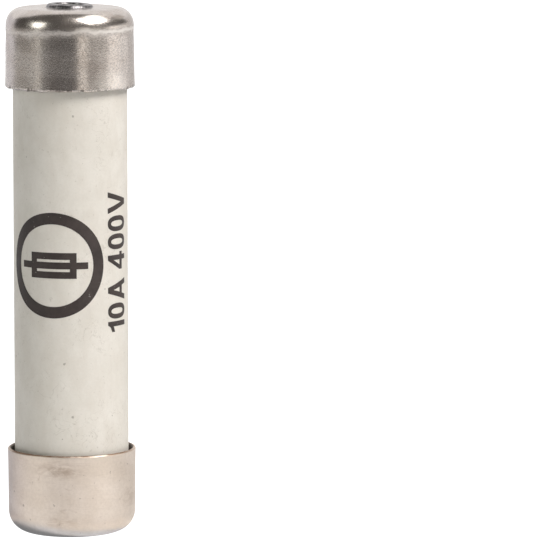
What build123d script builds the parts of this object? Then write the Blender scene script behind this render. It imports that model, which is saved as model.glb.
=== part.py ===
from build123d import *
import math
import os

# Cartridge fuse, 9 x 36 mm class: a ceramic tube with a nickel-plated cap on each end.
# The tube stands on its plain end. The other end carries the blown-fuse indicator, a button that
# a spring pushes out of the cap when its holding wire melts.
# Millimetres, +Z up, origin at the centre of the plain end's face.

# ---- driving dimensions ---------------------------------------------------------------------
fuse_length = 36.0            # between the two cap faces, without the indicator's collar
plain_cap_radius = 4.35       # outside of the plain end's cap, at its straight wall
indicator_cap_radius = 4.39   # the same, at the indicator's end
tube_radius = 3.905           # outside of the ceramic tube
bore_radius = 2.90            # inside of the ceramic tube
cap_sheet = 0.25              # sheet thickness of the outer caps
inner_cap_sheet = 0.175       # sheet thickness of the inner caps
plain_cap_length = 5.80       # end face to mouth
indicator_cap_length = 5.45
plain_cap_shoulder = 1.45     # outside radius between the cap's wall and its face
indicator_cap_shoulder = 1.12
mouth_flare = 0.045           # how far a cap's mouth opens out past its wall
flare_length = 1.0
press_gap = 0.01              # between pieces that are pressed together
running_gap = 0.02            # between pieces that pass each other
overcut = 0.1                 # how far a cutting block passes the face it opens

# ---- the stack of pieces at each end, measured inward from the cap face ---------------------
joint_space = 0.20            # between outer and inner cap, where the element is soldered
inner_face_depth = cap_sheet + joint_space
disc_depth = inner_face_depth + inner_cap_sheet
disc_thickness = 0.30
tube_depth = disc_depth + disc_thickness
inner_cap_mouth_depth = 4.6
inner_cap_shoulder = 1.0
tube_end_round = 0.6
disc_radius = 3.2

# ---- fuse element ---------------------------------------------------------------------------
strip_width = 2.4
strip_thickness = 0.12
strip_offset = 2.0            # the strip stands behind the axis, clear of the indicator
tab_reach = 2.9               # how far from the axis the folded end tabs reach
bend_radius = 0.10            # of the strip's middle line
slot_width = 2.5              # the slot that the strip passes through at each end
slot_near = 1.85              # the slot's edges, from the axis
slot_far = 2.20
neck_rows = 5                 # rows of holes that neck the strip down
neck_pitch = 5.2
neck_hole_radius = 0.52
overlay_width = 2.1
overlay_length = 1.4
overlay_thickness = 0.15
overlay_round = 0.3
solder_width = 2.2            # of the solder pad under each end tab
solder_round = 0.25

# ---- blown-fuse indicator -------------------------------------------------------------------
collar_radius = 1.58          # the raised ring on the indicator cap
collar_height = 0.28
collar_mouth = 1.05
collar_foot_round = 0.10
collar_outer_round = 0.24
collar_lip_round = 0.11
button_radius = 1.00
button_recess = 0.12          # the button's top, below the collar's top
button_crown = 0.06
button_shoulder_radius = 1.25
button_shoulder_height = 0.25
indicator_travel = 1.10
guide_bore = 1.30
guide_sheet = 0.20
guide_depth = 3.0             # the guide cup's bottom, from the cap face
guide_wire_hole = 0.25
guide_flange_radius = 1.75
guide_flange = 0.15
stem_radius = 0.40
stem_length = 0.60
stem_hole_depth = 0.40
spring_radius = 0.86          # of the coil's middle line
spring_wire_radius = 0.09
spring_turns = 5
wire_radius = 0.05
wire_stub_length = 0.10       # how far the stub reaches below the guide cup
bead_width = 0.22             # of the solder bead round the wire, where it meets the stem
bead_foot_width = 0.10
bead_height = 0.20

# ---- sand filling ---------------------------------------------------------------------------
plug_radius = 0.70
plug_offset = -1.80
channel_gap = 0.05            # round the pieces that run through the sand
wire_passage_radius = 0.30
anchor_inner_radius = 0.35    # the wire's solder anchor, at the cap face
anchor_outer_radius = 0.55    # the same, on the inner cap

# ---- heights worked out from the above ------------------------------------------------------
collar_top = fuse_length + collar_height
guide_floor = fuse_length - guide_depth + guide_sheet
button_top = collar_top - button_recess
button_shoulder_top = collar_top - cap_sheet - indicator_travel - running_gap
button_shoulder_foot = button_shoulder_top - button_shoulder_height
stem_foot = button_shoulder_foot - stem_length
stub_foot = fuse_length - guide_depth - wire_stub_length


# ---- helpers --------------------------------------------------------------------------------
def revolved(*edges):
    """The solid that a closed outline in the XZ plane makes when it turns about Z."""
    return revolve(make_face(Wire.combine(edges, tol=1e-4)), axis=Axis.Z)


def at(radius, height):
    return Vector(radius, 0, height)


def chain(points):
    """Straight edges from one (radius, height) point to the next."""
    return [Line(at(*a), at(*b)) for a, b in zip(points, points[1:])]


def corner(centre, radius, start_angle, end_angle):
    """An arc of the outline about a (radius, height) centre, angles in degrees from +radius."""
    def spot(angle):
        turn = math.radians(angle)
        return at(centre[0] + radius * math.cos(turn), centre[1] + radius * math.sin(turn))
    return ThreePointArc(spot(start_angle), spot((start_angle + end_angle) / 2), spot(end_angle))


def drill(radius, x, y, low, high):
    """A round bar along Z between two heights."""
    return Pos(x, y, (low + high) / 2) * Cylinder(radius, high - low)


def element_slot(low, high):
    """The block that opens the element's slot between two heights."""
    middle = (slot_near + slot_far) / 2
    return Pos(0, middle, (low + high) / 2) * Box(slot_width, slot_far - slot_near, high - low)


# The element is the same at both ends, so pieces for the indicator end are mirrored across the
# middle, which keeps their slots on the strip's side.
middle_plane = Plane.XY.offset(fuse_length / 2)


def at_indicator_end(shape):
    return mirror(shape, middle_plane)


# ---- caps, discs and tube: each end piece is drawn at the plain end -------------------------
def cap_rim(length, radius, shoulder):
    """An outer cap's shoulder, wall and flared round lip, from the face's edge and back."""
    half = cap_sheet / 2
    inner_radius = radius - cap_sheet
    shoulder_centre = (radius - shoulder, shoulder)
    wall_end = length - flare_length
    lip_height = length - half
    lip_centre = (radius + mouth_flare - half, lip_height)
    outside = [(radius, shoulder), (radius, wall_end), (radius + mouth_flare, lip_height)]
    inside = [(inner_radius + mouth_flare, lip_height), (inner_radius, wall_end),
              (inner_radius, shoulder)]
    return [
        corner(shoulder_centre, shoulder, -90, 0),
        *chain(outside),
        corner(lip_centre, half, 0, 180),
        *chain(inside),
        corner(shoulder_centre, shoulder - cap_sheet, 0, -90),
    ]


def plain_outer_cap():
    """A drawn cup with its face at z 0 and its mouth up."""
    face_edge = plain_cap_radius - plain_cap_shoulder
    face = chain([(face_edge, cap_sheet), (0, cap_sheet), (0, 0), (face_edge, 0)])
    return revolved(*cap_rim(plain_cap_length, plain_cap_radius, plain_cap_shoulder), *face)


def collared_outer_cap():
    """The same cup with a raised collar in its face, open for the indicator's button."""
    face_edge = indicator_cap_radius - indicator_cap_shoulder
    top = -collar_height
    ceiling = top + cap_sheet
    lip_middle = (collar_mouth + collar_lip_round, top + collar_lip_round)
    outer_middle = (collar_radius - collar_outer_round, top + collar_outer_round)
    foot_middle = (collar_radius + collar_foot_round, -collar_foot_round)
    collar = [
        *chain([(face_edge, cap_sheet), (guide_bore, cap_sheet), (guide_bore, ceiling),
                (collar_mouth, ceiling), (collar_mouth, lip_middle[1])]),
        corner(lip_middle, collar_lip_round, 180, 270),
        *chain([(lip_middle[0], top), (outer_middle[0], top)]),
        corner(outer_middle, collar_outer_round, -90, 0),
        *chain([(collar_radius, outer_middle[1]), (collar_radius, foot_middle[1])]),
        corner(foot_middle, collar_foot_round, 180, 90),
        *chain([(foot_middle[0], 0), (face_edge, 0)]),
    ]
    rim = cap_rim(indicator_cap_length, indicator_cap_radius, indicator_cap_shoulder)
    return revolved(*rim, *collar)


def inner_cap():
    """A cup pressed on the tube inside the outer cap, face down, with the element's slot."""
    inside = tube_radius + press_gap
    outside = inside + inner_cap_sheet
    centre = (outside - inner_cap_shoulder, inner_face_depth + inner_cap_shoulder)
    cup = revolved(
        corner(centre, inner_cap_shoulder, -90, 0),
        *chain([(outside, centre[1]), (outside, inner_cap_mouth_depth),
                (inside, inner_cap_mouth_depth), (inside, centre[1])]),
        corner(centre, inner_cap_shoulder - inner_cap_sheet, 0, -90),
        *chain([(centre[0], disc_depth), (0, disc_depth), (0, inner_face_depth),
                (centre[0], inner_face_depth)]),
    )
    return cup - element_slot(inner_face_depth - overcut, disc_depth + overcut)


def seal_disc():
    """The fibre disc that keeps the sand in, between inner cap and tube."""
    disc = drill(disc_radius, 0, 0, disc_depth + press_gap, tube_depth - press_gap)
    return disc - element_slot(disc_depth - overcut, tube_depth + overcut)


def end_passage(radius, offset=0):
    """The hole through an inner cap and its seal disc."""
    return drill(radius, 0, offset, inner_face_depth - overcut, tube_depth + overcut)


def ceramic_tube():
    """The body: a plain tube with rounded outer edges."""
    tube = drill(tube_radius, 0, 0, tube_depth, fuse_length - tube_depth)
    tube = fillet(tube.edges().filter_by(GeomType.CIRCLE), tube_end_round)
    return tube - drill(bore_radius, 0, 0, 0, fuse_length)


# ---- fuse element ---------------------------------------------------------------------------
bend_inside = bend_radius - strip_thickness / 2
bend_height = inner_face_depth - press_gap + bend_inside
tab_start = strip_offset + bend_radius
tab_top = inner_face_depth - press_gap - strip_thickness
overlay_height = fuse_length / 2 + neck_pitch / 2


def element_tab():
    """The strip's folded end: a quarter bend and a tab lying on the inner cap's face."""
    bend_outside = bend_radius + strip_thickness / 2
    block = 1.0
    ring = Cylinder(bend_outside, strip_width) - Cylinder(bend_inside, strip_width)
    ring = Pos(0, tab_start, bend_height) * Rot(0, 90, 0) * ring
    quarter = Pos(0, tab_start - block / 2, bend_height - block / 2) * Box(strip_width, block, block)
    tab = Box(strip_width, tab_reach - tab_start, strip_thickness)
    tab = Pos(0, (tab_start + tab_reach) / 2, bend_height - bend_radius) * tab
    return (ring & quarter) + tab


def fuse_element():
    """A silvered strip, necked down by rows of holes, with a tab folded out at each end."""
    tab = element_tab()
    length = fuse_length - 2 * bend_height
    strip = Pos(0, strip_offset, fuse_length / 2) * Box(strip_width, strip_thickness, length)
    strip = strip + tab + at_indicator_end(tab)
    hole = Rot(90, 0, 0) * Cylinder(neck_hole_radius, 1)
    for row in range(neck_rows):
        height = fuse_length / 2 + (row - (neck_rows - 1) / 2) * neck_pitch
        for x in (-strip_width / 2, 0, strip_width / 2):
            strip -= Pos(x, strip_offset, height) * hole
    return strip


def tin_overlay():
    """The low-melting pad soldered beside the middle row of necks."""
    back = strip_offset + strip_thickness / 2 + overlay_thickness / 2
    pad = Pos(0, back, overlay_height) * Box(overlay_width, overlay_thickness, overlay_length)
    return fillet(pad.edges().filter_by(Axis.Y), overlay_round)


def tab_solder():
    """Solder between an end tab and the outer cap."""
    outline = Rectangle(solder_width, tab_reach - tab_start)
    pad = extrude(fillet(outline.vertices(), solder_round), tab_top - cap_sheet)
    return Pos(0, (tab_start + tab_reach) / 2, cap_sheet) * pad


# ---- sand filling ---------------------------------------------------------------------------
def quartz_sand():
    """The packed filling, with channels round the element, its overlay, the wire and the guide."""
    low = tube_depth
    high = fuse_length - tube_depth
    sand = drill(bore_radius - running_gap, 0, 0, low, high)
    strip_channel = Box(strip_width + 2 * channel_gap, strip_thickness + 2 * channel_gap, fuse_length)
    sand -= Pos(0, strip_offset, fuse_length / 2) * strip_channel
    pad_depth = overlay_thickness + 2 * channel_gap
    pad_back = strip_offset + strip_thickness / 2 + pad_depth / 2
    pad_channel = Box(overlay_width + 2 * channel_gap, pad_depth, overlay_length + 2 * channel_gap)
    sand -= Pos(0, pad_back, overlay_height) * pad_channel
    sand -= drill(wire_radius + channel_gap, 0, 0, low - overcut, high)
    guide_channel = guide_bore + guide_sheet + channel_gap
    return sand - drill(guide_channel, 0, 0, fuse_length - guide_depth - channel_gap, high)


def fill_plug():
    """The fibre plug that closes the hole through which the sand was poured."""
    return drill(plug_radius - press_gap, 0, plug_offset, inner_face_depth, tube_depth - press_gap)


# ---- blown-fuse indicator -------------------------------------------------------------------
def guide_cup():
    """The flanged cup that guides the button, face at z 0 and bottom inward."""
    outside = guide_bore + guide_sheet
    top = cap_sheet + press_gap
    floor = guide_depth - guide_sheet
    return revolved(*chain([
        (guide_bore, top), (guide_flange_radius, top), (guide_flange_radius, top + guide_flange),
        (outside, top + guide_flange), (outside, guide_depth), (guide_wire_hole, guide_depth),
        (guide_wire_hole, floor), (guide_bore, floor), (guide_bore, top)]))


def indicator_button():
    """A headed pin: crowned head, shoulder that stops it under the collar, stem for the wire."""
    crown_radius = (button_radius ** 2 + button_crown ** 2) / (2 * button_crown)
    crown_edge = math.degrees(math.acos(button_radius / crown_radius))
    wire_hole = wire_radius + running_gap
    hole_top = stem_foot + stem_hole_depth
    return revolved(
        corner((0, button_top - crown_radius), crown_radius, crown_edge, 90),
        *chain([(0, button_top), (0, hole_top), (wire_hole, hole_top), (wire_hole, stem_foot),
                (stem_radius, stem_foot), (stem_radius, button_shoulder_foot),
                (button_shoulder_radius, button_shoulder_foot),
                (button_shoulder_radius, button_shoulder_top),
                (button_radius, button_shoulder_top), (button_radius, button_top - button_crown)]))


def indicator_spring():
    """A compression coil between the guide cup's floor and the button's shoulder."""
    clearance = spring_wire_radius + press_gap
    low = guide_floor + clearance
    height = button_shoulder_foot - clearance - low
    path = Helix(pitch=height / spring_turns, height=height, radius=spring_radius, center=(0, 0, low))
    section = Plane(origin=path @ 0, z_dir=path % 0) * Circle(spring_wire_radius)
    return sweep(section, path=path, is_frenet=True)


def wire_bead():
    """The solder bead that holds the wire's stub to the stem."""
    inside = wire_radius + running_gap
    foot = stem_foot - bead_height
    return revolved(*chain([
        (inside, foot), (inside + bead_foot_width, foot), (inside + bead_width, stem_foot),
        (inside, stem_foot), (inside, foot)]))


def wire_anchor():
    """The solder button that anchors the indicator wire on the plain end's inner cap."""
    low = cap_sheet + press_gap
    high = inner_face_depth - press_gap
    inside = wire_radius + press_gap
    return revolved(*chain([(inside, low), (anchor_inner_radius, low), (anchor_outer_radius, high),
                            (inside, high), (inside, low)]))


fill_hole = end_passage(plug_radius, plug_offset)
wire_passage = end_passage(wire_passage_radius)
guide_passage = end_passage(guide_bore + guide_sheet + press_gap)
wire_foot = cap_sheet + 2 * press_gap
stub_top = stem_foot + stem_hole_depth - running_gap

parts = {
    "ceramic_tube": ceramic_tube(),
    "plain_end_outer_cap": plain_outer_cap(),
    "indicator_end_outer_cap": at_indicator_end(collared_outer_cap()),
    "plain_end_inner_cap": inner_cap() - fill_hole - wire_passage,
    "indicator_end_inner_cap": at_indicator_end(inner_cap() - guide_passage),
    "plain_end_seal_disc": seal_disc() - fill_hole - wire_passage,
    "indicator_end_seal_disc": at_indicator_end(seal_disc() - guide_passage),
    "sand_fill_plug": fill_plug(),
    "quartz_sand": quartz_sand(),
    "fuse_element": fuse_element(),
    "element_tin_overlay": tin_overlay(),
    "plain_end_element_solder": tab_solder(),
    "indicator_end_element_solder": at_indicator_end(tab_solder()),
    "plain_end_wire_solder": wire_anchor(),
    "indicator_wire": drill(wire_radius, 0, 0, wire_foot, stub_foot - running_gap),
    "indicator_guide_cup": at_indicator_end(guide_cup()),
    "indicator_spring": indicator_spring(),
    "indicator_button": indicator_button(),
    "indicator_wire_stub": drill(wire_radius, 0, 0, stub_foot, stub_top),
    "indicator_wire_bead": wire_bead(),
}

os.makedirs("parts", exist_ok=True)
for name, shape in parts.items():
    solids = shape.solids()
    export_step(solids[0] if len(solids) == 1 else Compound(solids), f"parts/{name}.step")
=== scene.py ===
import math

import bmesh
import bpy
from mathutils import Matrix, Vector, noise


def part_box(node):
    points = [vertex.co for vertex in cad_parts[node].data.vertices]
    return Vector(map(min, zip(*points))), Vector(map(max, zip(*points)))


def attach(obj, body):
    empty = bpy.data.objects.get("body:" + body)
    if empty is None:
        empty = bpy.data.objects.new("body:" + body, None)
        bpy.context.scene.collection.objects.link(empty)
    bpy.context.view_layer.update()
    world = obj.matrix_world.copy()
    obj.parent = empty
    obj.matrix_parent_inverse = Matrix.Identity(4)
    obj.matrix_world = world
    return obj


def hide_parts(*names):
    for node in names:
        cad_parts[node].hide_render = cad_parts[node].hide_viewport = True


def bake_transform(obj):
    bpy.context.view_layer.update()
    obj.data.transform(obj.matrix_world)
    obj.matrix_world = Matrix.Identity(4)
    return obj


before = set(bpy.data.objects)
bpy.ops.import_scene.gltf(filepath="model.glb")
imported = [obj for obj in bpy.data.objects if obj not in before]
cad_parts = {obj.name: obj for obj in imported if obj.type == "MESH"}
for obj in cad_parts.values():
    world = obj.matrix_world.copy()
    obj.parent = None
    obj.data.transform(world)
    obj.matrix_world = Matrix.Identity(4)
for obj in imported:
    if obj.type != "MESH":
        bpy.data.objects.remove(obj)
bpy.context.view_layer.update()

# Looks of a cylindrical cartridge fuse that stands on its plain end.
# Metres, +Z up, in the frame of the CAD model. MM turns millimetres into metres.
MM = 0.001


# ---- places and sizes --------------------------------------------------------------------------
def node_size(node):
    """(outer radius, lowest height, highest height) of a round CAD node, in metres."""
    low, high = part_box(node)
    return (high.x - low.x) / 2, low.z, high.z


tube_radius, tube_foot, tube_top = node_size("ceramic_tube")
plain_lip_radius, plain_face, plain_mouth = node_size("plain_end_outer_cap")
indicator_lip_radius, indicator_mouth, collar_top = node_size("indicator_end_outer_cap")
spring_reach, spring_foot, spring_top = node_size("indicator_spring")
middle_height = (plain_mouth + indicator_mouth) / 2

# What the frame's boxes don't tell, as in the CAD model, and the wear that only the looks have.
cap_sheet = 0.25 * MM
plain_shoulder = 1.45 * MM
indicator_shoulder = 1.12 * MM
mouth_flare = 0.045 * MM
flare_length = 1.0 * MM
lip_play = 0.005 * MM
groove_depth = 0.024 * MM
slump_depth = 0.20 * MM
slump_fade = 1.2 * MM
collar_tilt = 0.06 * MM
collar_radius = 1.58 * MM
collar_height = 0.28 * MM
collar_mouth = 1.05 * MM
collar_mouth_round = 0.11 * MM
collar_top_round = 0.24 * MM
collar_foot_round = 0.10 * MM
guide_bore = 1.30 * MM
cap_face = collar_top - collar_height

CAP_SEGMENTS = 288
TUBE_SEGMENTS = 192


# ---- mesh helpers ------------------------------------------------------------------------------
def new_object(name, mesh):
    piece = bpy.data.objects.new(name, mesh)
    bpy.context.scene.collection.objects.link(piece)
    return piece


def arc(centre, radius, start_angle, end_angle, steps):
    """(radius, height) points on an arc of an outline, angles in degrees from +radius."""
    points = []
    for i in range(steps + 1):
        turn = math.radians(start_angle + (end_angle - start_angle) * i / steps)
        points.append((centre[0] + radius * math.cos(turn), centre[1] + radius * math.sin(turn)))
    return points


def line(start, end, steps):
    """Evenly spaced points from start to end, without the last one."""
    return [(start[0] + (end[0] - start[0]) * i / steps, start[1] + (end[1] - start[1]) * i / steps)
            for i in range(steps)]


def lathe(name, outline, segments, shift):
    """Turns a closed outline of (radius, height) points about Z. A point on the axis is one vertex.

    shift(angle, radius, height) gives the change of (radius, height) at that spot.
    """
    mesh = bmesh.new()
    rings = []
    for radius, height in outline:
        if radius < 1e-9:
            rings.append([mesh.verts.new((0, 0, height))])
            continue
        ring = []
        for i in range(segments):
            angle = 2 * math.pi * i / segments
            dr, dz = shift(angle, radius, height)
            r = radius + dr
            ring.append(mesh.verts.new((r * math.sin(angle), -r * math.cos(angle), height + dz)))
        rings.append(ring)
    for low, high in zip(rings, rings[1:] + rings[:1]):
        if len(low) == 1 and len(high) == 1:
            continue
        for i in range(segments):
            j = (i + 1) % segments
            corners = [low[i % len(low)], low[j % len(low)],
                       high[j % len(high)], high[i % len(high)]]
            mesh.faces.new(list(dict.fromkeys(corners)))
    bmesh.ops.recalc_face_normals(mesh, faces=mesh.faces)
    data = bpy.data.meshes.new(name)
    mesh.to_mesh(data)
    mesh.free()
    data.shade_smooth()
    return new_object(name, data)


def bumpy(angle, height, size, seed):
    """Smooth noise round the part, -1 to 1, with features about size metres across."""
    reach = plain_lip_radius / size
    spot = Vector((math.sin(angle) * reach, math.cos(angle) * reach, height / size))
    return noise.noise(spot + Vector((seed, -seed, seed * 0.37)))


# ---- outer caps --------------------------------------------------------------------------------
def collar_outline(face, out):
    """Points over the raised collar, from inside its mouth out to the face. out is -1 or 1."""
    top = face + out * collar_height
    inside = collar_mouth + collar_mouth_round
    outside = collar_radius - collar_top_round
    foot = collar_radius + collar_foot_round
    mouth_centre = (inside, top - out * collar_mouth_round)
    top_centre = (outside, top - out * collar_top_round)
    foot_centre = (foot, face + out * collar_foot_round)
    points = [(collar_mouth, top - out * cap_sheet)]
    points += arc(mouth_centre, collar_mouth_round, 180, 180 - out * 90, 6)
    points += arc(top_centre, collar_top_round, out * 90, 0, 8)
    points += arc(foot_centre, collar_foot_round, 180, 180 + out * 90, 6)
    return points


def cap_outline(face, mouth, lip_radius, shoulder, loss, gain, with_collar):
    """Points round a cap's section, from the middle of its face out, over the lip and back in.

    The wall widens towards the mouth: its radius is loss below the nominal one at the shoulder and
    gain above it just before the flare.
    """
    into = 1 if mouth > face else -1
    half = cap_sheet / 2
    nominal = lip_radius - mouth_flare
    start = nominal - loss
    end = nominal + gain
    centre = (start - shoulder, face + into * shoulder)
    lip = (lip_radius - half - lip_play, mouth - into * half)
    wall_end = mouth - into * flare_length
    inner = start - cap_sheet

    points = []
    if with_collar:
        points += collar_outline(face, -into)
        face_start = collar_radius + 1.6 * collar_foot_round
    else:
        points += [(0, face)]
        face_start = cap_sheet
    points += line((face_start, face), (centre[0], face), 10)
    points += arc(centre, shoulder, -into * 90, 0, 28)[:-1]
    points += line((start, centre[1]), (end, wall_end), 40)
    points += line((end, wall_end), (lip_radius - lip_play, lip[1]), 8)
    points += arc(lip, half, 0, into * 180, 10)
    points += line((lip[0] - half, lip[1]), (inner, wall_end), 3)[1:]
    points += line((inner, wall_end), (inner, centre[1]), 3)
    points += arc(centre, shoulder - cap_sheet, 0, -into * 90, 8)
    sheet_under = into * cap_sheet
    if with_collar:
        points += [(guide_bore, face + sheet_under)]
        points += [(guide_bore, face - into * collar_height + sheet_under)]
    else:
        points += [(0, face + sheet_under)]
    return points


def groove(distance):
    """How far a wall dips, in metres, at a distance from the end of its shoulder."""
    down = 0.50 * MM
    back = 1.3 * MM
    if distance < 0 or distance > down + back:
        return 0.0
    if distance < down:
        return groove_depth * (1 - math.cos(math.pi * distance / down)) / 2
    return groove_depth * (1 + math.cos(math.pi * (distance - down) / back)) / 2


def slump(angle, distance, shoulder):
    """How far a shoulder is drawn down the wall, in metres: the drawing die wore to one side."""
    least = 0.45
    side_bias = math.radians(-60)
    side = max(least, math.cos(angle - side_bias))
    past = (distance - shoulder) / slump_fade
    share = (distance / shoulder) ** 2 if past < 0 else max(0.0, 1 - past)
    return slump_depth * side * share


def outer_cap(name, face, mouth, lip_radius, shoulder, loss, gain, with_collar, raggedness, seed):
    """A drawn cap whose lip is trimmed a little unevenly and whose wall isn't perfectly round.

    The collar's cap also has the worn shoulder, the groove below it and the tilted collar.
    """
    outline = cap_outline(face, mouth, lip_radius, shoulder, loss, gain, with_collar)
    into = 1 if mouth > face else -1
    wall = lip_radius - mouth_flare - loss - cap_sheet / 2
    trim_reach = 0.30 * MM
    coarse_nicks = 0.55 * MM
    fine_nicks = 0.16 * MM
    wave_size = 2.4 * MM
    wave_depth = 0.006 * MM

    def shift(angle, radius, height):
        distance = abs(height - face)
        if with_collar and radius < 1.1 * collar_radius:
            share = min(1.0, distance / collar_height)
            return 0, -collar_tilt * share * (1 + math.sin(angle)) / 2
        to_lip = max(0.0, 1 - abs(mouth - height) / trim_reach)
        ragged = bumpy(angle, height, coarse_nicks, seed) + bumpy(angle, height, fine_nicks, seed + 5)
        trim = raggedness * to_lip * to_lip * (0.5 * ragged - 0.5)
        wave = 0.5 * (bumpy(angle, height, wave_size, seed + 9) - 1)
        on_wall = min(1.0, distance / shoulder)
        wavy = wave_depth * wave * on_wall if radius > 2 * collar_radius else 0
        dip = groove(distance - shoulder) if with_collar and radius > wall else 0
        sag = into * slump(angle, distance, shoulder) if with_collar else 0
        return wavy - dip, into * trim + sag

    piece = lathe(name, outline, CAP_SEGMENTS, shift)
    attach(piece, "cartridge")
    return piece


plain_cap = outer_cap("plain_end_cap_shell", plain_face, plain_mouth, plain_lip_radius,
                      plain_shoulder, loss=0.005 * MM, gain=0.021 * MM, with_collar=False,
                      raggedness=0.02 * MM, seed=3.1)
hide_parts("plain_end_outer_cap")
indicator_cap = outer_cap("indicator_end_cap_shell", cap_face, indicator_mouth, indicator_lip_radius,
                          indicator_shoulder, loss=0.018 * MM, gain=0.012 * MM, with_collar=True,
                          raggedness=0.10 * MM, seed=7.7)
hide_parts("indicator_end_outer_cap")


# ---- ceramic tube ------------------------------------------------------------------------------
bore = 2.90 * MM
tube_round = 0.6 * MM
tube_wave_size = 3.5 * MM
tube_wave_depth = 0.004 * MM


def tube_shift(angle, radius, height):
    """A pressed and fired tube is a few microns out of round."""
    return tube_wave_depth * (bumpy(angle, height, tube_wave_size, seed=1.9) - 1), 0


tube_outline = arc((tube_radius - tube_round, tube_foot + tube_round), tube_round, -90, 0, 8)[:-1]
tube_outline += line((tube_radius, tube_foot + tube_round), (tube_radius, tube_top - tube_round), 60)
tube_outline += arc((tube_radius - tube_round, tube_top - tube_round), tube_round, 0, 90, 8)
tube_outline += line((bore, tube_top), (bore, tube_foot), 4)
tube_outline += [(bore, tube_foot)]
tube = lathe("ceramic_body", tube_outline, TUBE_SEGMENTS, tube_shift)
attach(tube, "cartridge")
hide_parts("ceramic_tube")


# ---- print -------------------------------------------------------------------------------------
INK_FOOT = tube_radius + 0.001 * MM
INK_TOP = tube_radius + 0.010 * MM


def wrap_print(name, flat, middle_angle, middle):
    """Wraps a flat mesh round the tube and gives it a thickness.

    Its x runs round the tube and its y up, in metres. Its origin goes to an angle and a height.
    """
    mesh = bmesh.new()
    mesh.from_mesh(flat)
    bmesh.ops.remove_doubles(mesh, verts=mesh.verts, dist=1e-7)
    bmesh.ops.dissolve_limit(mesh, angle_limit=0.01, verts=mesh.verts, edges=mesh.edges)
    span = [v.co.x for v in mesh.verts]
    step = 0.2 * MM
    x = math.ceil(min(span) / step) * step
    while x < max(span):
        geometry = mesh.verts[:] + mesh.edges[:] + mesh.faces[:]
        bmesh.ops.bisect_plane(mesh, geom=geometry, plane_co=(x, 0, 0), plane_no=(1, 0, 0), dist=1e-8)
        x += step
    bmesh.ops.triangulate(mesh, faces=mesh.faces)
    geometry = mesh.verts[:] + mesh.edges[:] + mesh.faces[:]
    copy = bmesh.ops.duplicate(mesh, geom=geometry)["geom"]
    upper = {v for v in copy if isinstance(v, bmesh.types.BMVert)}
    rim = [e for e in mesh.edges if e.is_boundary]
    lower_rim = [e for e in rim if e.verts[0] not in upper]
    for face in [f for f in mesh.faces if f.verts[0] not in upper]:
        face.normal_flip()
    above = {(round(v.co.x, 9), round(v.co.y, 9)): v for v in mesh.verts if v in upper}
    for edge in lower_rim:
        a, b = edge.verts
        c = above[(round(a.co.x, 9), round(a.co.y, 9))]
        d = above[(round(b.co.x, 9), round(b.co.y, 9))]
        mesh.faces.new((a, b, d, c))
    for v in mesh.verts:
        angle = middle_angle + v.co.x / tube_radius
        radius = INK_TOP if v in upper else INK_FOOT
        v.co = Vector((radius * math.sin(angle), -radius * math.cos(angle), middle + v.co.y))
    bmesh.ops.recalc_face_normals(mesh, faces=mesh.faces)
    data = bpy.data.meshes.new(name)
    mesh.to_mesh(data)
    mesh.free()
    piece = new_object(name, data)
    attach(piece, "cartridge")
    return piece


def curve_outline(splines, name):
    """A flat mesh filled between closed outlines, each a list of (x, y) points."""
    curve = bpy.data.curves.new(name, "CURVE")
    curve.dimensions = "2D"
    curve.fill_mode = "BOTH"
    for points in splines:
        spline = curve.splines.new("POLY")
        spline.points.add(len(points) - 1)
        for point, (x, y) in zip(spline.points, points):
            point.co = (x, y, 0, 1)
        spline.use_cyclic_u = True
    holder = new_object(name, curve)
    mesh = bpy.data.meshes.new_from_object(holder.evaluated_get(bpy.context.evaluated_depsgraph_get()))
    bpy.data.objects.remove(holder)
    return mesh


def circle(radius):
    steps = 96
    return [(radius * math.cos(2 * math.pi * i / steps), radius * math.sin(2 * math.pi * i / steps))
            for i in range(steps)]


mark_radius = 3.60 * MM
mark_stroke = 0.78 * MM
symbol_width = 3.3 * MM
symbol_height = 1.75 * MM
symbol_reach = 4.9 * MM
symbol_stroke = 0.46 * MM
mark_angle = math.radians(-18.5)
mark_height = middle_height + 0.6 * MM
ring = curve_outline([circle(mark_radius), circle(mark_radius - mark_stroke)], "print_ring_flat")
print_ring = wrap_print("print_ring", ring, mark_angle, mark_height)


def fuse_symbol():
    """The closed outlines of a box with a line through it, and of its two windows."""
    box_x, box_y = symbol_width / 2, symbol_height / 2
    window_x, window_y = box_x - symbol_stroke, box_y - symbol_stroke
    end, half = symbol_reach / 2, symbol_stroke / 2
    quarter = [(end, half), (box_x, half), (box_x, box_y)]
    left = [(-x, y) for x, y in reversed(quarter)]
    upper = quarter + left
    outside = upper + [(x, -y) for x, y in reversed(upper)]
    window = [(-window_x, half), (window_x, half), (window_x, window_y), (-window_x, window_y)]
    return [outside, window, [(x, -y) for x, y in window]]


symbol = curve_outline(fuse_symbol(), "print_symbol_flat")
print_symbol = wrap_print("print_symbol", symbol, mark_angle, mark_height)


def oval(width, height, middle):
    """A closed outline between an ellipse, which has roundness 1, and a rectangle."""
    steps = 48
    roundness = 0.82
    points = []
    for i in range(steps):
        turn = 2 * math.pi * i / steps
        c, s = math.cos(turn), math.sin(turn)
        points.append((middle[0] + math.copysign(abs(c) ** roundness, c) * width / 2,
                       middle[1] + math.copysign(abs(s) ** roundness, s) * height / 2))
    return points


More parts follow.
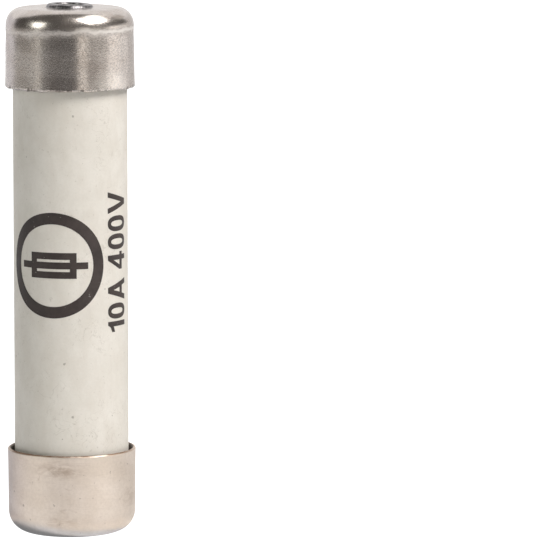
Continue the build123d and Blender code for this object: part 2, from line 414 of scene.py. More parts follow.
# Plain upright figures and letters, one cap height tall: their width and their closed outlines.
GLYPHS = {
    "0": (0.56, [oval(0.56, 1.0, (0.28, 0.5)), oval(0.22, 0.68, (0.28, 0.5))]),
    "1": (0.38, [[(0.20, 0), (0.38, 0), (0.38, 1), (0.25, 1), (0.17, 0.87), (0.0, 0.80), (0.0, 0.65),
                  (0.20, 0.72)]]),
    "4": (0.64, [[(0.35, 0), (0.53, 0), (0.53, 0.21), (0.64, 0.21), (0.64, 0.37), (0.53, 0.37),
                  (0.53, 1), (0.35, 1), (0, 0.38), (0, 0.21), (0.35, 0.21)],
                 [(0.35, 0.37), (0.16, 0.37), (0.35, 0.72)]]),
    "A": (0.78, [[(0, 0), (0.19, 0), (0.25, 0.21), (0.53, 0.21), (0.59, 0), (0.78, 0), (0.49, 1),
                  (0.29, 1)],
                 [(0.30, 0.37), (0.48, 0.37), (0.39, 0.72)]]),
    "V": (0.78, [[(0, 1), (0.19, 1), (0.39, 0.27), (0.59, 1), (0.78, 1), (0.49, 0), (0.29, 0)]]),
    " ": (0.16, []),
}


def rating_outlines(words, cap_height, spacing):
    """The outlines of a line of figures that reads upwards, centred on the origin."""
    outlines = []
    along = 0
    for letter in words:
        width, shapes = GLYPHS[letter]
        for shape in shapes:
            outlines.append([(x + along, y) for x, y in shape])
        along += width + spacing
    length = along - spacing
    return [[((0.5 - y) * cap_height, (x - length / 2) * cap_height) for x, y in shape]
            for shape in outlines]


rating_cap_height = 1.90 * MM
rating_spacing = 0.09
rating_angle = math.radians(54)
rating_height = middle_height + 0.7 * MM
rating_flat = rating_outlines("10A 400V", rating_cap_height, rating_spacing)
rating = curve_outline(rating_flat, "print_rating_flat")
print_rating = wrap_print("print_rating", rating, rating_angle, rating_height)


# ---- materials ---------------------------------------------------------------------------------
class Nodes:
    """A small builder of node materials in object coordinates, in millimetres."""

    def __init__(self, name):
        self.material = bpy.data.materials.new(name)
        self.material.use_nodes = True
        self.tree = self.material.node_tree
        self.tree.nodes.clear()
        output = self.tree.nodes.new("ShaderNodeOutputMaterial")
        self.shader = self.tree.nodes.new("ShaderNodeBsdfPrincipled")
        self.link(self.shader.outputs[0], output.inputs[0])
        coordinates = self.tree.nodes.new("ShaderNodeTexCoord")
        scaled = self.tree.nodes.new("ShaderNodeVectorMath")
        scaled.operation = "SCALE"
        scaled.inputs["Scale"].default_value = 1 / MM
        self.link(coordinates.outputs["Object"], scaled.inputs[0])
        self.place = scaled.outputs[0]

    def link(self, source, target):
        self.tree.links.new(source, target)

    def feed(self, value, target):
        """Links an output, or sets a plain number."""
        if hasattr(value, "links"):
            self.link(value, target)
        else:
            target.default_value = value

    def noise(self, scale, detail=3.0, roughness=0.5, distortion=0.0, stretch=None, offset=(0, 0, 0)):
        place = self.place
        if stretch or any(offset):
            mapping = self.tree.nodes.new("ShaderNodeMapping")
            mapping.inputs["Scale"].default_value = stretch or (1, 1, 1)
            mapping.inputs["Location"].default_value = offset
            self.link(place, mapping.inputs[0])
            place = mapping.outputs[0]
        node = self.tree.nodes.new("ShaderNodeTexNoise")
        node.inputs["Scale"].default_value = scale
        node.inputs["Detail"].default_value = detail
        node.inputs["Roughness"].default_value = roughness
        node.inputs["Distortion"].default_value = distortion
        self.link(place, node.inputs["Vector"])
        return node.outputs["Fac"]

    def cells(self, scale, offset=(0, 0, 0)):
        mapping = self.tree.nodes.new("ShaderNodeMapping")
        mapping.inputs["Location"].default_value = offset
        self.link(self.place, mapping.inputs[0])
        node = self.tree.nodes.new("ShaderNodeTexVoronoi")
        node.inputs["Scale"].default_value = scale
        self.link(mapping.outputs[0], node.inputs["Vector"])
        return node

    def ramp(self, value, low, high, smooth=True, low_to=0.0, high_to=1.0):
        """value mapped so that low gives low_to and high gives high_to, held at both ends."""
        node = self.tree.nodes.new("ShaderNodeMapRange")
        node.interpolation_type = "SMOOTHSTEP" if smooth else "LINEAR"
        self.feed(value, node.inputs["Value"])
        node.inputs["From Min"].default_value = low
        node.inputs["From Max"].default_value = high
        node.inputs["To Min"].default_value = low_to
        node.inputs["To Max"].default_value = high_to
        return node.outputs[0]

    def fall(self, value, low, high, low_to=1.0):
        """low_to up to low, falling smoothly to 0 at high."""
        return self.ramp(value, low, high, low_to=low_to, high_to=0.0)

    def math(self, operation, a, b=0.0):
        node = self.tree.nodes.new("ShaderNodeMath")
        node.operation = operation
        self.feed(a, node.inputs[0])
        self.feed(b, node.inputs[1])
        return node.outputs[0]

    def product(self, a, b):
        return self.math("MULTIPLY", a, b)

    def away_from(self, value, middle):
        """How far the value is from middle, either way."""
        return self.math("ABSOLUTE", self.math("SUBTRACT", value, middle))

    def along(self, axis):
        """The place along an axis, "X", "Y" or "Z", in millimetres."""
        node = self.tree.nodes.new("ShaderNodeSeparateXYZ")
        self.link(self.place, node.inputs[0])
        return node.outputs[axis]

    def radius(self):
        """The distance from the fuse's axis in millimetres."""
        flat = self.tree.nodes.new("ShaderNodeVectorMath")
        flat.operation = "MULTIPLY"
        flat.inputs[1].default_value = (1, 1, 0)
        self.link(self.place, flat.inputs[0])
        node = self.tree.nodes.new("ShaderNodeVectorMath")
        node.operation = "LENGTH"
        self.link(flat.outputs[0], node.inputs[0])
        return node.outputs["Value"]

    def spot(self, angle, height, radius, width, tall):
        """1 at a spot on the outside, at an angle and height, falling to 0 at its edge."""
        turn = math.radians(angle)
        offset = self.tree.nodes.new("ShaderNodeVectorMath")
        offset.operation = "SUBTRACT"
        offset.inputs[1].default_value = (radius * math.sin(turn), -radius * math.cos(turn), height)
        self.link(self.place, offset.inputs[0])
        scaled = self.tree.nodes.new("ShaderNodeVectorMath")
        scaled.operation = "MULTIPLY"
        scaled.inputs[1].default_value = (2 / width, 2 / width, 2 / tall)
        self.link(offset.outputs[0], scaled.inputs[0])
        node = self.tree.nodes.new("ShaderNodeVectorMath")
        node.operation = "LENGTH"
        self.link(scaled.outputs[0], node.inputs[0])
        return self.fall(node.outputs["Value"], 0.2, 1.0)

    def blend(self, share, a, b):
        """Number a at share 0, number b at share 1."""
        node = self.tree.nodes.new("ShaderNodeMix")
        self.feed(share, node.inputs[0])
        self.feed(a, node.inputs[2])
        self.feed(b, node.inputs[3])
        return node.outputs[0]

    def mix(self, share, a, b):
        """Colour a at share 0, colour b at share 1."""
        node = self.tree.nodes.new("ShaderNodeMix")
        node.data_type = "RGBA"
        self.feed(share, node.inputs["Factor"])
        for value, target in ((a, node.inputs[6]), (b, node.inputs[7])):
            if isinstance(value, tuple):
                target.default_value = (*value, 1)
            else:
                self.link(value, target)
        return node.outputs[2]

    def tint(self, colour, share, strength, other):
        """The colour, turned towards the other by share times strength."""
        return self.mix(self.math("MULTIPLY", share, strength), colour, other)

    def bump(self, height, distance):
        """Fine relief. distance, from its lowest to its highest places, is in millimetres."""
        node = self.tree.nodes.new("ShaderNodeBump")
        node.inputs["Distance"].default_value = distance * MM
        node.inputs["Strength"].default_value = 1.0
        self.feed(height, node.inputs["Height"])
        return node.outputs[0]

    def finish(self, colour, roughness, normal, metallic=0.0):
        self.link(colour, self.shader.inputs["Base Color"])
        self.feed(roughness, self.shader.inputs["Roughness"])
        self.link(normal, self.shader.inputs["Normal"])
        self.shader.inputs["Metallic"].default_value = metallic
        return self.material


def polished_nickel():
    """The indicator end's cap: burnished shoulder over a fine-grained satin wall with painted
    reflections, and a collar painted dark.
    """
    n = Nodes("polished_nickel")
    height = n.along("Z")
    shoulder_end = (cap_face - indicator_shoulder) / MM
    mouth = indicator_mouth / MM
    wall = (indicator_lip_radius - mouth_flare) / MM

    # Where the burnishing ends: a line that wanders and runs lower on the left.
    wander = n.ramp(n.noise(0.8, detail=3, offset=(1, 3, 9)), 0.3, 0.7, low_to=-0.12, high_to=0.12)
    slant = n.math("MINIMUM", n.product(n.along("X"), 0.060), 0.0)
    burnish = n.math("SUBTRACT", n.math("ADD", height, wander), slant)
    shoulder = n.ramp(burnish, shoulder_end - 0.12, shoulder_end + 0.06)
    on_wall = n.ramp(shoulder, 0, 1, low_to=1.0, high_to=0.25)

    # Grain and tarnish.
    grain = n.noise(9.0, detail=2, roughness=0.55, stretch=(0.7, 0.7, 1.4))
    coarse = n.noise(0.9, detail=3, offset=(4, 1, 7))
    colour = n.mix(n.ramp(coarse, 0.35, 0.75), (0.745, 0.69, 0.65), (0.665, 0.60, 0.55))
    pits = n.fall(grain, 0.34, 0.58, low_to=0.42)
    colour = n.tint(colour, pits, on_wall, (0.20, 0.175, 0.16))

    # Dark dashes where the trimmed lip is burred.
    burr = n.noise(2.3, detail=3, roughness=0.7, stretch=(1, 1, 0.5), offset=(6, 2, 2))
    near_mouth = n.fall(height, mouth + 0.12, mouth + 0.34)
    dashes = n.product(n.ramp(burr, 0.51, 0.58), near_mouth)
    colour = n.tint(colour, dashes, 0.85, (0.13, 0.105, 0.09))

    # A painted dark reflection on the left of the shoulder, painted darker reflections on the wall and a
    # painted bright reflection low on the wall's right.
    painted_dark_reflection_left = n.product(n.spot(-50, shoulder_end + 0.2, wall, 2.2, 1.9), shoulder)
    colour = n.tint(colour, painted_dark_reflection_left, 0.55, (0.25, 0.22, 0.20))
    ragged = n.ramp(n.noise(1.5, detail=5, roughness=0.65, offset=(2, 5, 1)), 0.30, 0.55)
    # Darker patches on the wall, painted in where the wall's reflection is darker.
    painted_dark_reflections = n.math("MAXIMUM", n.spot(-8, mouth + 0.6, wall, 3.6, 2.2),
                  n.spot(22, mouth + 1.5, wall, 2.6, 3.4))
    colour = n.tint(colour, n.product(painted_dark_reflections, ragged), 0.42, (0.36, 0.31, 0.285))
    # A near-white patch low on the right of the wall, a painted reflection.
    painted_bright_reflection = n.product(n.spot(40, mouth + 0.5, wall, 4.0, 2.6), ragged)
    colour = n.tint(colour, painted_bright_reflection, 0.65, (0.98, 0.93, 0.88))

    # The collar, painted dark to stand for its dark reflection, and speckled.
    collar = n.fall(n.radius(), 1.60, 1.72)
    on_top = n.product(collar, n.ramp(height, shoulder_end, shoulder_end + 0.9))
    speckle = n.ramp(n.noise(6.0, detail=2, offset=(3, 9, 4)), 0.45, 0.62)
    collar_painted_dark_reflection = n.mix(speckle, (0.13, 0.13, 0.145), (0.34, 0.33, 0.34))
    colour = n.tint(colour, on_top, 0.85, collar_painted_dark_reflection)

    # A matt line just below the shoulder, with a painted highlight along it that grows brighter towards
    # the right.
    matt_line = n.fall(n.away_from(burnish, shoulder_end - 0.26), 0.04, 0.48)
    painted_highlight_line = n.fall(n.away_from(burnish, shoulder_end - 0.25), 0.0, 0.22)
    side_bias = n.ramp(n.along("X"), -1.2, 1.6, low_to=0.22, high_to=0.95)
    colour = n.tint(colour, painted_highlight_line, side_bias, (0.98, 0.93, 0.88))

    satin = n.blend(matt_line, n.ramp(grain, 0.25, 0.75, low_to=0.28, high_to=0.22), 0.36)
    polished = n.ramp(coarse, 0.3, 0.7, low_to=0.21, high_to=0.29)
    rough = n.blend(on_top, n.blend(shoulder, satin, polished), 0.30)
    relief = n.bump(n.product(grain, on_wall), 0.0055)
    return n.finish(colour, rough, relief, metallic=1.0)


def tarnished_nickel():
    """The plain end's cap: satin, warmer, with brown smudges and a brown line along its lip."""
    n = Nodes("tarnished_nickel")
    height = n.along("Z")
    wall = (plain_lip_radius - mouth_flare) / MM
    mouth = plain_mouth / MM

    # Broad patches, upright veils, level scratches and fine grain.
    fine = n.noise(5.0, detail=4, roughness=0.65)
    broad = n.noise(0.38, detail=3, roughness=0.5, stretch=(1, 1, 1.6), offset=(7, 3, 4))
    veil = n.noise(0.8, detail=4, roughness=0.6, stretch=(1, 1, 0.35), offset=(5, 1, 7))
    scratch = n.noise(0.9, detail=5, roughness=0.7, stretch=(1, 1, 14), offset=(3, 8, 6))
    colour = n.mix(n.ramp(broad, 0.3, 0.7), (0.81, 0.71, 0.616), (0.895, 0.80, 0.715))
    colour = n.mix(n.fall(veil, 0.35, 0.65, low_to=0.10), colour, (0.55, 0.47, 0.40))
    colour = n.mix(n.ramp(scratch, 0.56, 0.66, high_to=0.16), colour, (0.50, 0.42, 0.35))
    colour = n.mix(n.fall(fine, 0.3, 0.7, low_to=0.14), colour, (0.45, 0.38, 0.32))

    # Smudges: two on the front and a faint one on the right, besides some that fall anywhere.
    blotch = n.noise(1.1, detail=5, roughness=0.62, distortion=0.5, stretch=(1, 1, 2.4),
                     offset=(2, 6, 1))
    low_smear = n.product(n.spot(-10, 1.20, wall, 4.0, 1.2), 0.7)
    right_smear = n.product(n.spot(68, 2.6, wall, 3, 2), 0.5)
    smears = n.math("MAXIMUM", n.spot(-12, mouth - 1.0, wall, 4.6, 1.5),
                    n.math("MAXIMUM", low_smear, right_smear))
    smudge = n.math("ADD", n.ramp(blotch, 0.60, 0.80, high_to=0.55),
                    n.product(smears, n.ramp(blotch, 0.36, 0.62)))
    colour = n.tint(colour, smudge, 0.56, (0.41, 0.30, 0.22))
    spots = n.ramp(n.noise(3.0, detail=2, offset=(9, 3, 5)), 0.70, 0.76)
    colour = n.tint(colour, spots, 0.55, (0.36, 0.29, 0.24))
    # Painted shade low on the left of the wall, blotchy, not a smudge.
    foot = n.product(n.spot(-70, 0.9, wall, 5.0, 2.6), n.ramp(blotch, 0.25, 0.55, low_to=0.6))
    colour = n.tint(colour, foot, 0.42, (0.44, 0.37, 0.33))

    # The stained lip, bare in one place and weaker towards the back, and painted shade on the inside.
    bare = n.spot(27, mouth - 0.1, wall, 1.5, 1.2)
    patchy = n.ramp(n.noise(1.6, detail=3, offset=(8, 8, 1)), 0.25, 0.50, low_to=0.55, high_to=1.0)
    stain = n.product(n.ramp(height, mouth - 0.14, mouth - 0.03), patchy)
    stain = n.product(stain, n.math("SUBTRACT", 1.0, bare))
    stain = n.product(stain, n.ramp(n.along("Y"), -2.2, -0.7, low_to=1.0, high_to=0.35))
    colour = n.tint(colour, stain, 0.9, (0.215, 0.125, 0.07))
    inside = n.fall(n.radius(), wall - 0.16, wall - 0.07)
    painted_shade_inside = n.product(inside, n.ramp(height, mouth - 2.5, mouth - 2.2))
    colour = n.tint(colour, painted_shade_inside, 0.85, (0.085, 0.07, 0.06))

    rough = n.blend(stain, n.ramp(fine, 0.25, 0.75, low_to=0.48, high_to=0.40), 0.68)
    return n.finish(colour, rough, n.bump(fine, 0.005), metallic=1.0)


def fired_ceramic():
    """Unglazed steatite: warm off-white, mottled, with dark specks and short hairlines."""
    n = Nodes("fired_ceramic")

    # Mottling at three sizes.
    mottle = n.noise(0.40, detail=5, roughness=0.6)
    cloud = n.noise(1.0, detail=4, roughness=0.65, stretch=(1, 1, 0.55), offset=(2, 7, 3))
    fine = n.noise(6.0, detail=3, roughness=0.6)
    colour = n.mix(n.ramp(mottle, 0.3, 0.7), (0.79, 0.752, 0.68), (0.85, 0.812, 0.745))
    colour = n.mix(n.ramp(cloud, 0.35, 0.7, high_to=0.29), colour, (0.67, 0.61, 0.53))
    colour = n.tint(colour, n.ramp(fine, 0.35, 0.65), 0.10, (0.62, 0.60, 0.54))

    # Dust, and specks of uneven size and outline.
    dust = n.ramp(n.noise(4.2, detail=2, roughness=0.6, offset=(1, 4, 6)), 0.66, 0.74)
    colour = n.tint(colour, dust, 0.30, (0.42, 0.38, 0.31))
    speck = n.cells(0.95, offset=(0.4, 0.1, 0.7))
    uneven = n.ramp(fine, 0.3, 0.7, low_to=-0.03, high_to=0.03)
    distance = n.math("ADD", speck.outputs["Distance"], uneven)
    size = n.ramp(n.noise(0.9, detail=1, offset=(5, 5, 5)), 0.42, 0.72, low_to=0.01, high_to=0.065)
    dark = n.fall(n.math("SUBTRACT", distance, size), -0.01, 0.035)
    colour = n.tint(colour, dark, 0.6, (0.28, 0.25, 0.20))

    # Hairlines, in some places only.
    crack = n.noise(0.85, detail=3, roughness=0.6, distortion=0.8, offset=(3, 3, 8))
    some_places = n.ramp(n.noise(0.30, detail=1, offset=(9, 1, 4)), 0.49, 0.57)
    hairline = n.product(n.fall(n.away_from(crack, 0.5), 0.003, 0.010), some_places)
    colour = n.tint(colour, hairline, 0.26, (0.40, 0.36, 0.29))
    return n.finish(colour, 0.58, n.bump(fine, 0.006))


def printed_ink():
    """Dark brown-black ink with a few pinholes."""
    n = Nodes("printed_ink")
    thin = n.noise(1.2, detail=5, roughness=0.65)
    pinholes = n.ramp(n.noise(5.5, detail=2, offset=(1, 8, 2)), 0.70, 0.76)
    colour = n.mix(n.ramp(thin, 0.3, 0.7), (0.028, 0.019, 0.017), (0.050, 0.036, 0.032))
    colour = n.tint(colour, pinholes, 0.55, (0.35, 0.33, 0.30))
    rough = n.ramp(thin, 0.3, 0.7, low_to=0.42, high_to=0.6)
    return n.finish(colour, rough, n.bump(thin, 0.006))


def metal(name, light, dark, rough, grain, bump=0.006):
    """A plain metal with slight patches and grain."""
    n = Nodes(name)
    patches = n.noise(grain * 0.2, detail=4)
    fine = n.noise(grain, detail=4, roughness=0.65, offset=(3, 2, 8))
    colour = n.mix(n.ramp(patches, 0.35, 0.7), light, dark)
    colour = n.tint(colour, n.ramp(fine, 0.35, 0.7), 0.25, dark)
    roughness = n.ramp(fine, 0.3, 0.7, low_to=rough * 0.85, high_to=rough * 1.2)
    return n.finish(colour, roughness, n.bump(fine, bump), metallic=1.0)


def vulcanised_fibre():
    """Red-brown pressed fibre."""
    n = Nodes("vulcanised_fibre")
    fibres = n.noise(4.0, detail=5, roughness=0.7, stretch=(1, 1, 6))
    colour = n.mix(n.ramp(fibres, 0.3, 0.7), (0.34, 0.13, 0.085), (0.46, 0.21, 0.14))
    rough = n.ramp(fibres, 0.3, 0.7, low_to=0.6, high_to=0.8)
    return n.finish(colour, rough, n.bump(fibres, 0.02))


def packed_sand():
    """Pale quartz grains."""
    n = Nodes("packed_sand")
    grains = n.cells(5.0)
    tone = n.tree.nodes.new("ShaderNodeSeparateColor")
    n.link(grains.outputs["Color"], tone.inputs[0])
    share = n.ramp(tone.outputs[0], 0, 1, smooth=False)
    colour = n.mix(share, (0.83, 0.79, 0.70), (0.60, 0.54, 0.43))
    return n.finish(colour, 0.75, n.bump(grains.outputs["Distance"], 0.08))


def paint(target, material):
    """Gives an object one material and no other."""
    target.data.materials.clear()
    target.data.materials.append(material)


nickel_bright = polished_nickel()
nickel_dull = tarnished_nickel()
ceramic = fired_ceramic()
ink = printed_ink()
# The inner caps' brass, painted dark for the shade they lie in under the outer caps' lips.
brass_with_painted_shade = metal("brass_with_painted_shade", (0.26, 0.20, 0.12), (0.15, 0.11, 0.07), 0.38, 5.0)
guide_brass = metal("turned_brass", (0.76, 0.60, 0.31), (0.58, 0.43, 0.20), 0.25, 6.0)
silvered = metal("silvered_copper", (0.88, 0.86, 0.82), (0.72, 0.66, 0.58), 0.22, 4.0)
solder = metal("soft_solder", (0.70, 0.70, 0.69), (0.48, 0.48, 0.48), 0.42, 8.0, bump=0.02)
steel = metal("drawn_steel", (0.56, 0.56, 0.55), (0.34, 0.33, 0.31), 0.30, 9.0)
button_metal = metal("button_nickel", (0.60, 0.59, 0.55), (0.36, 0.35, 0.31), 0.34, 6.0, bump=0.02)
fibre = vulcanised_fibre()
sand = packed_sand()

paint(plain_cap, nickel_dull)
paint(indicator_cap, nickel_bright)
paint(tube, ceramic)
for piece in (print_ring, print_symbol, print_rating):
    paint(piece, ink)

node_materials = {
    "plain_end_inner_cap": brass_with_painted_shade,
    "indicator_end_inner_cap": brass_with_painted_shade,
    "plain_end_seal_disc": fibre,
    "indicator_end_seal_disc": fibre,
    "sand_fill_plug": fibre,
    "quartz_sand": sand,
    "fuse_element": silvered,
    "element_tin_overlay": solder,
    "plain_end_element_solder": solder,
    "indicator_end_element_solder": solder,
    "plain_end_wire_solder": solder,
    "indicator_wire": steel,
    "indicator_guide_cup": guide_brass,
    "indicator_spring": steel,
    "indicator_button": button_metal,
    "indicator_wire_stub": steel,
    "indicator_wire_bead": solder,
}
for node, material in node_materials.items():
    paint(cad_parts[node], material)


# ---- indicator spring --------------------------------------------------------------------------
def coil():
    """The indicator's spring: an even helix of round wire."""
    wire = 0.09 * MM
    turns = 5
    steps = 40 * turns
    ring = 12
    reach = spring_reach - wire
    low = spring_foot + wire
    high = spring_top - wire
    mesh = bmesh.new()
    rows = []
    for i in range(steps + 1):
        share = i / steps
        angle = 2 * math.pi * turns * share
        rise = low + (high - low) * share
        out = Vector((math.cos(angle), math.sin(angle), 0))
        row = []
        for k in range(ring):
            turn = 2 * math.pi * k / ring
            row.append(mesh.verts.new(out * (reach + wire * math.cos(turn))
                                      + Vector((0, 0, rise + wire * math.sin(turn)))))
        rows.append(row)
    for low_row, high_row in zip(rows, rows[1:]):
        for k in range(ring):
            j = (k + 1) % ring
            mesh.faces.new((low_row[k], low_row[j], high_row[j], high_row[k]))
    mesh.faces.new(rows[0])
    mesh.faces.new(rows[-1])
    bmesh.ops.recalc_face_normals(mesh, faces=mesh.faces)
    data = bpy.data.meshes.new("indicator_coil")
    mesh.to_mesh(data)
    mesh.free()
    data.shade_smooth()
    return new_object("indicator_coil", data)


spring = coil()
paint(spring, steel)
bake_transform(spring)
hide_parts("indicator_spring")


# ---- stage -------------------------------------------------------------------------------------
# Azimuths and elevations are in degrees. Azimuth 0 is the side towards -Y, and they grow
# anticlockwise seen from above. ON_FLOOR is the height in millimetres, at its start and at its
# end, of the lower edge of a card that stands on the floor.
CARD_DISTANCE = 0.28
ON_FLOOR = (0.5, 0.5)


def emitter(name, colour, strength):
    """A material that only shines."""
    material = bpy.data.materials.new(name)
    material.use_nodes = True
    tree = material.node_tree
    tree.nodes.clear()
    glow = tree.nodes.new("ShaderNodeEmission")
    glow.inputs["Color"].default_value = (*colour, 1)
    glow.inputs["Strength"].default_value = strength
    output = tree.nodes.new("ShaderNodeOutputMaterial")
    tree.links.new(glow.outputs[0], output.inputs[0])
    return material


def reflected_only(piece):
    """Seen in shiny metal and nowhere else."""
    piece.visible_camera = False
    piece.visible_diffuse = False
    piece.visible_shadow = False


def aim(piece, azimuth, elevation, distance):
    """Places a card or a lamp so that it faces the fuse."""
    a, e = math.radians(azimuth), math.radians(elevation)
    way = Vector((math.sin(a) * math.cos(e), -math.cos(a) * math.cos(e), math.sin(e)))
    piece.rotation_mode = "QUATERNION"
    piece.rotation_quaternion = way.to_track_quat("Z", "Y")
    piece.location = Vector((0, 0, middle_height)) + way * distance


def card(name, azimuth, elevation, distance, width, height, colour, strength):
    """A flat card that faces the fuse."""
    mesh = bpy.data.meshes.new(name)
    w, h = width / 2, height / 2
    mesh.from_pydata([(-w, -h, 0), (w, -h, 0), (w, h, 0), (-w, h, 0)], [], [(0, 1, 2, 3)])
    mesh.materials.append(emitter(name, colour, strength))
    piece = new_object(name, mesh)
    aim(piece, azimuth, elevation, distance)
    reflected_only(piece)


def strip(name, corners, colour, strength):
    """A card through a row of corners, which come in pairs, one on each long side."""
    faces = [(i, i + 1, i + 3, i + 2) for i in range(0, len(corners) - 2, 2)]
    mesh = bpy.data.meshes.new(name)
    mesh.from_pydata(corners, [], faces)
    mesh.materials.append(emitter(name, colour, strength))
    reflected_only(new_object(name, mesh))


def standing_card(name, start, end, low, high, colour, strength):
    """A curved card that stands round the fuse between two azimuths.

    low and high are its heights in millimetres at the start and at the end.
    """
    steps = 8
    corners = []
    for i in range(steps + 1):
        share = i / steps
        turn = math.radians(start + (end - start) * share)
        x, y = CARD_DISTANCE * math.sin(turn), -CARD_DISTANCE * math.cos(turn)
        for heights in (low, high):
            corners.append((x, y, (heights[0] + (heights[1] - heights[0]) * share) * MM))
    strip(name, corners, colour, strength)


def floor_patch(name, start, end, reach, colour, strength):
    """A sector of the floor that shines, between two azimuths and two distances in millimetres."""
    steps = 6
    height = 0.1 * MM
    corners = []
    for i in range(steps + 1):
        turn = math.radians(start + (end - start) * i / steps)
        for distance in reach:
            corners.append((distance * MM * math.sin(turn), -distance * MM * math.cos(turn), height))
    strip(name, corners, colour, strength)


def softbox(name, azimuth, elevation, distance, width, height, power, colour):
    """A lamp with a rectangular window, which faces the fuse."""
    data = bpy.data.lights.new(name, "AREA")
    data.shape = "RECTANGLE"
    data.size = width
    data.size_y = height
    data.energy = power
    data.color = colour
    lamp = bpy.data.objects.new(name, data)
    bpy.context.scene.collection.objects.link(lamp)
    aim(lamp, azimuth, elevation, distance)
    lamp.visible_camera = False
    return lamp


def sheet_of(name, low, high, material):
    """A rectangle on the ground between two (x, y) corners."""
    mesh = bpy.data.meshes.new(name)
    mesh.from_pydata([(low[0], low[1], 0), (high[0], low[1], 0), (high[0], high[1], 0),
                      (low[0], high[1], 0)], [], [(0, 1, 2, 3)])
    mesh.materials.append(material)
    piece = new_object(name, mesh)
    return piece


def white_surface(name, tone, glow):
    """Matt white, lifted by a glow of its own."""
    material = bpy.data.materials.new(name)
    material.use_nodes = True
    shader = material.node_tree.nodes["Principled BSDF"]
    shader.inputs["Base Color"].default_value = (tone, tone, tone, 1)
    shader.inputs["Roughness"].default_value = 0.9
    shader.inputs["Specular IOR Level"].default_value = 0.2
    shader.inputs["Emission Color"].default_value = (1, 1, 1, 1)
    shader.inputs["Emission Strength"].default_value = glow
    return material


def ball_of(name, segments, centre, size, material):
    """A ball round centre, squashed to size along x, y and z."""
    ball = bmesh.new()
    place = Matrix.Translation(centre) @ Matrix.Diagonal((*size, 1))
    bmesh.ops.create_uvsphere(ball, u_segments=segments, v_segments=segments // 2, radius=1,
                              matrix=place)
    mesh = bpy.data.meshes.new(name)
    ball.to_mesh(mesh)
    ball.free()
    mesh.materials.append(material)
    piece = new_object(name, mesh)
    return piece


def shade(name, centre, size, colour, strength):
    """A flat grey oval on the ground, in millimetres, that the metal reflects as its own shadow."""
    centre = tuple(value * MM for value in centre)
    size = tuple(value * MM for value in size)
    reflected_only(ball_of(name, 32, centre, size, emitter(name, colour, strength)))


def stage():
    """A pale floor and surround that the camera sees, and the white sheet under the fuse."""
    floor = sheet_of("floor", (-1.6, -1.6), (1.6, 1.6), white_surface("floor_white", 0.5, 1.0))
    floor.visible_glossy = False
    floor.visible_diffuse = False
    sheet = sheet_of("white_sheet", (-0.6, -0.165), (0.6, 1.0), white_surface("sheet_white", 0.88, 0.58))
    sheet.visible_camera = False
    floor_patch("front_patch", -84, 38, (6, 60), (1.0, 0.98, 0.97), 0.92)
    floor_patch("bright_patch", 40, 64, (11, 100), (1.0, 0.98, 0.95), 1.10)
    floor_patch("grey_patch", -175, -112, (5, 60), (0.86, 0.88, 1.0), 0.52)
    floor_patch("left_patch", -112, -84, (5, 60), (1.0, 0.97, 1.0), 0.74)
    floor_patch("right_patch", 88, 178, (5, 80), (1.0, 0.98, 0.96), 0.68)
    shade("contact_shade", (-0.85, 0.35, 0.02), (4.3, 4.0, 0), (0.76, 0.86, 1.0), 0.32)
    shade("near_shade", (-0.9, 0.1, 0.01), (5.0, 4.5, 0), (0.84, 0.90, 1.0), 0.80)
    surround = ball_of("surround", 64, (0, 0, 0), (1.4, 1.4, 1.4),
                       emitter("surround_white", (1, 1, 1), 1.0))
    surround.visible_glossy = False
    surround.visible_diffuse = False
    surround.visible_shadow = False
    sky = ball_of("sky", 32, (0, 0, 0), (2.5, 2.5, 2.5), emitter("sky_white", (1, 0.985, 0.945), 0.03))
    sky.visible_camera = False
    sky.visible_glossy = False
    sky.visible_shadow = False


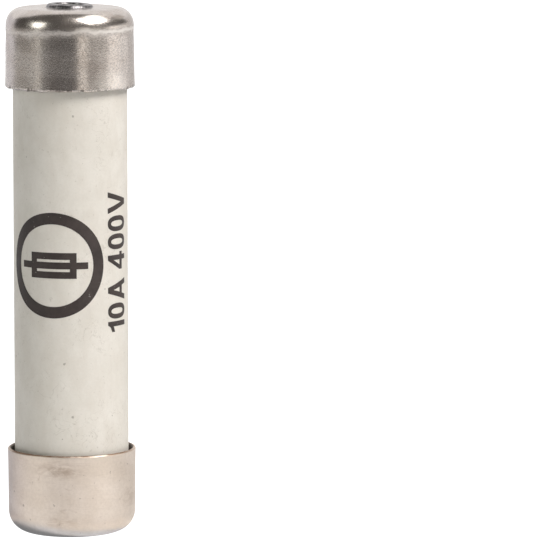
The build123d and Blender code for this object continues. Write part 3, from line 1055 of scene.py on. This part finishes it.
stage()
softbox("key", 51, 46, 0.55, 0.26, 0.26, 2.74, (1.0, 0.97, 0.945))
fill = softbox("fill", 12, 9, 0.55, 0.30, 0.10, 0.26, (1.0, 0.98, 0.95))
fill.visible_glossy = False
rear = softbox("rear", 205, 32, 0.55, 0.40, 0.30, 1.0, (1.0, 0.985, 0.96))
rear.visible_glossy = False
softbox("side", -61, 20, 0.55, 0.20, 0.22, 0.42, (0.98, 1.0, 0.93))
card("key_panel", 58, 49, 0.55, 0.36, 0.34, (1.0, 0.97, 0.94), 3.6)
card("back_panel", 180, 30, 0.9, 2.2, 1.6, (1.0, 0.98, 0.97), 0.88)
card("high_right", 92, 66, 0.6, 0.22, 0.16, (1.0, 0.98, 0.95), 2.2)
card("low_right", 122, 34, 0.6, 0.25, 0.20, (1.0, 0.93, 0.86), 0.50)
warm = (1.0, 0.95, 0.88)
standing_card("front", -54, 14, ON_FLOOR, (50, 50), (1.0, 0.95, 0.92), 0.11)
standing_card("streak", 15, 31, ON_FLOOR, (60, 60), warm, 1.25)
standing_card("middle", 32, 70, (3, 13), (60, 60), warm, 0.40)
standing_card("right_wedge", 32, 70, ON_FLOOR, (3, 13), warm, 1.20)
standing_card("right", 71, 99, ON_FLOOR, (60, 60), (1.0, 0.96, 0.92), 1.25)
standing_card("right_end", 99, 126, ON_FLOOR, (60, 60), (1.0, 0.97, 0.95), 0.98)
standing_card("far_right", 127, 160, ON_FLOOR, (120, 120), (1.0, 0.97, 0.96), 0.66)
standing_card("left_streak", -64, -54, ON_FLOOR, (35, 35), warm, 0.72)
standing_card("left", -110, -66, (9, 4), (35, 35), warm, 0.33)
standing_card("left_wedge", -110, -66, ON_FLOOR, (9, 4), warm, 0.55)
standing_card("far_left", -160, -118, ON_FLOOR, (120, 120), (0.98, 0.96, 1.0), 0.74)

world = bpy.data.worlds.new("world")
bpy.context.scene.world = world
world.use_nodes = True
background = world.node_tree.nodes["Background"]
background.inputs["Color"].default_value = (1.0, 0.93, 0.86, 1)
background.inputs["Strength"].default_value = 0.09


# ---- camera ------------------------------------------------------------------------------------
# The camera is on an arm that turns about a point on the fuse's axis, at half its length.
pivot_height = 0.018
camera_distance = 0.3509
camera_elevation = math.radians(7.396)
look_right = math.radians(2.242)
look_down = math.radians(7.402)
camera_data = bpy.data.cameras.new("camera")
camera_data.sensor_width = 36
camera_data.lens = 341.9
camera_data.clip_start = 0.01
camera_data.clip_end = 20
camera = bpy.data.objects.new("camera", camera_data)
bpy.context.scene.collection.objects.link(camera)
camera.location = (0, -camera_distance * math.cos(camera_elevation),
                   pivot_height + camera_distance * math.sin(camera_elevation))
camera.rotation_euler = (math.pi / 2 - look_down, 0, -look_right)
bpy.context.scene.camera = camera
bpy.context.scene.view_settings.view_transform = "Standard"
